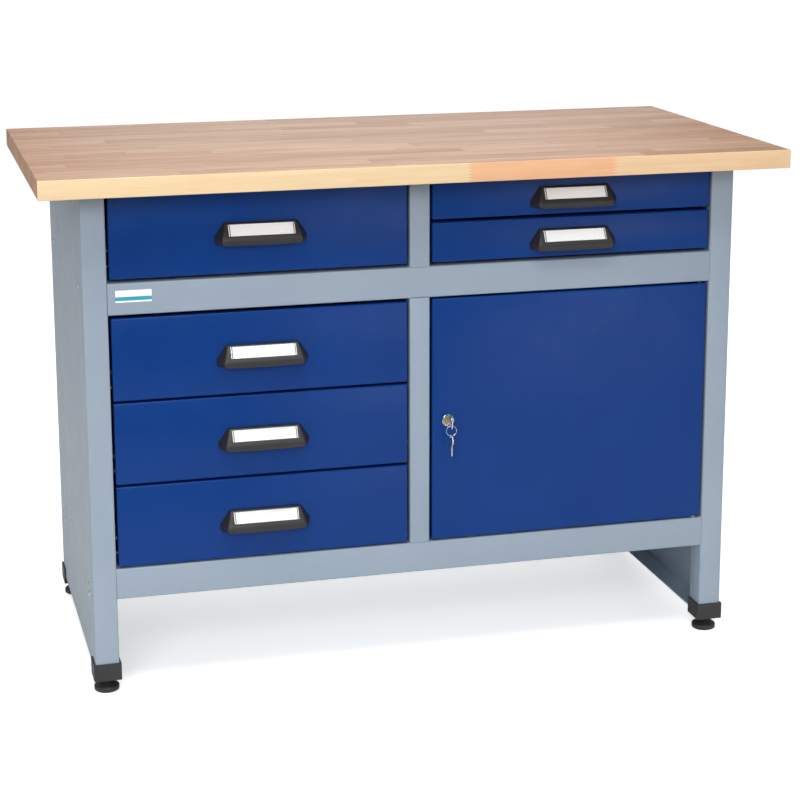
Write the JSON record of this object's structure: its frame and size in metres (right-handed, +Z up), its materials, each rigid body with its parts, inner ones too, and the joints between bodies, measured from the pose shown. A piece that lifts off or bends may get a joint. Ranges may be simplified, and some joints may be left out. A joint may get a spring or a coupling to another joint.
{
  "type": "workbench with drawers",
  "caption": "Workbench with a glued beech worktop on a folded steel frame with sliding drawers, a lockable cupboard door and levelling feet.",
  "frame": {"origin": "on the floor, under the middle of the worktop", "axes": "+Z up, +X to the right along the length of the bench seen from the front, the drawers and the door face -Y"},
  "size_m": [1.2, 0.6, 0.84],
  "materials": {
    "worktop_beech": "oiled, finger-jointed staves",
    "frame_paint": "blue-grey powder coat",
    "front_paint": "ultramarine powder coat",
    "box_paint": "blue-grey powder coat",
    "zinc_steel": "zinc plated",
    "black_plastic": "fine moulded grain",
    "label_card": "blank white card behind clear film",
    "nameplate_film": "blank film with a plain band",
    "lock_chrome": "polished chrome",
    "plug_brass": "turned",
    "key_nickel": "nickel plated"
  },
  "bodies": {
    "frame": {"worktop": "worktop_beech", "left_side": "frame_paint", "right_side": "frame_paint", "mid_tray": "frame_paint", "floor_tray": "frame_paint", "upper_partition": "frame_paint", "lower_partition": "frame_paint", "rear_rail": "frame_paint", "back_panel": "frame_paint", "cupboard_shelf": "frame_paint", "shelf_pegs": "zinc_steel", "nameplate": "nameplate_film", "side_screws": "zinc_steel", "worktop_screws": "zinc_steel", "foot_caps": "black_plastic", "runner_channels_left": "zinc_steel", "runner_channels_right": "zinc_steel", "hinge_pins": "zinc_steel"},
    "foot_front_left": {"foot_front_left": "black_plastic"},
    "foot_front_right": {"foot_front_right": "black_plastic"},
    "foot_rear_left": {"foot_rear_left": "black_plastic"},
    "foot_rear_right": {"foot_rear_right": "black_plastic"},
    "door": {"door": "front_paint", "lock_barrel": "lock_chrome", "lock_nut": "zinc_steel"},
    "lock": {"lock_plug": "plug_brass", "lock_cam": "zinc_steel", "key": "key_nickel"},
    "ring": {"key_ring": "key_nickel"},
    "spare": {"spare_key": "key_nickel"},
    "drawer_1": {"drawer_1_box": "box_paint", "drawer_1_front": "front_paint", "drawer_1_handle": "black_plastic", "drawer_1_card": "label_card", "drawer_1_slides": "zinc_steel"},
    "drawer_2": {"drawer_2_box": "box_paint", "drawer_2_front": "front_paint", "drawer_2_handle": "black_plastic", "drawer_2_card": "label_card", "drawer_2_slides": "zinc_steel"},
    "drawer_3": {"drawer_3_box": "box_paint", "drawer_3_front": "front_paint", "drawer_3_handle": "black_plastic", "drawer_3_card": "label_card", "drawer_3_slides": "zinc_steel"},
    "drawer_4": {"drawer_4_box": "box_paint", "drawer_4_front": "front_paint", "drawer_4_handle": "black_plastic", "drawer_4_card": "label_card", "drawer_4_slides": "zinc_steel"},
    "drawer_5": {"drawer_5_box": "box_paint", "drawer_5_front": "front_paint", "drawer_5_handle": "black_plastic", "drawer_5_card": "label_card", "drawer_5_slides": "zinc_steel"},
    "drawer_6": {"drawer_6_box": "box_paint", "drawer_6_front": "front_paint", "drawer_6_handle": "black_plastic", "drawer_6_card": "label_card", "drawer_6_slides": "zinc_steel"}
  },
  "joints": [
    {"name": "level_front_left", "type": "slide", "parent": "frame", "child": "foot_front_left", "axis": [0, 0, -1], "range_m": [0, 0.015]},
    {"name": "level_front_right", "type": "slide", "parent": "frame", "child": "foot_front_right", "axis": [0, 0, -1], "range_m": [0, 0.015]},
    {"name": "level_rear_left", "type": "slide", "parent": "frame", "child": "foot_rear_left", "axis": [0, 0, -1], "range_m": [0, 0.015]},
    {"name": "level_rear_right", "type": "slide", "parent": "frame", "child": "foot_rear_right", "axis": [0, 0, -1], "range_m": [0, 0.015]},
    {"name": "door_hinge", "type": "hinge", "parent": "frame", "child": "door", "pos_m": [0.4818, -0.221, 0.41125], "axis": [0, 0, 1], "range_deg": [0, 105]},
    {"name": "lock_turn", "type": "hinge", "parent": "door", "child": "lock", "pos_m": [0.0467, -0.23, 0.41125], "axis": [0, -1, 0], "range_deg": [0, 90]},
    {"name": "ring_swing", "type": "hinge", "parent": "lock", "child": "ring", "pos_m": [0.0467, -0.2516, 0.40875], "axis": [-1, 0, 0], "range_deg": [-10, 80]},
    {"name": "spare_swing", "type": "hinge", "parent": "ring", "child": "spare", "pos_m": [0.0467, -0.2516, 0.38855], "axis": [-1, 0, 0], "range_deg": [-10, 60]},
    {"name": "drawer_1_slide", "type": "slide", "parent": "frame", "child": "drawer_1", "axis": [0, -1, 0], "range_m": [0, 0.38]},
    {"name": "drawer_2_slide", "type": "slide", "parent": "frame", "child": "drawer_2", "axis": [0, -1, 0], "range_m": [0, 0.38]},
    {"name": "drawer_3_slide", "type": "slide", "parent": "frame", "child": "drawer_3", "axis": [0, -1, 0], "range_m": [0, 0.38]},
    {"name": "drawer_4_slide", "type": "slide", "parent": "frame", "child": "drawer_4", "axis": [0, -1, 0], "range_m": [0, 0.38]},
    {"name": "drawer_5_slide", "type": "slide", "parent": "frame", "child": "drawer_5", "axis": [0, -1, 0], "range_m": [0, 0.38]},
    {"name": "drawer_6_slide", "type": "slide", "parent": "frame", "child": "drawer_6", "axis": [0, -1, 0], "range_m": [0, 0.38]}
  ]
}
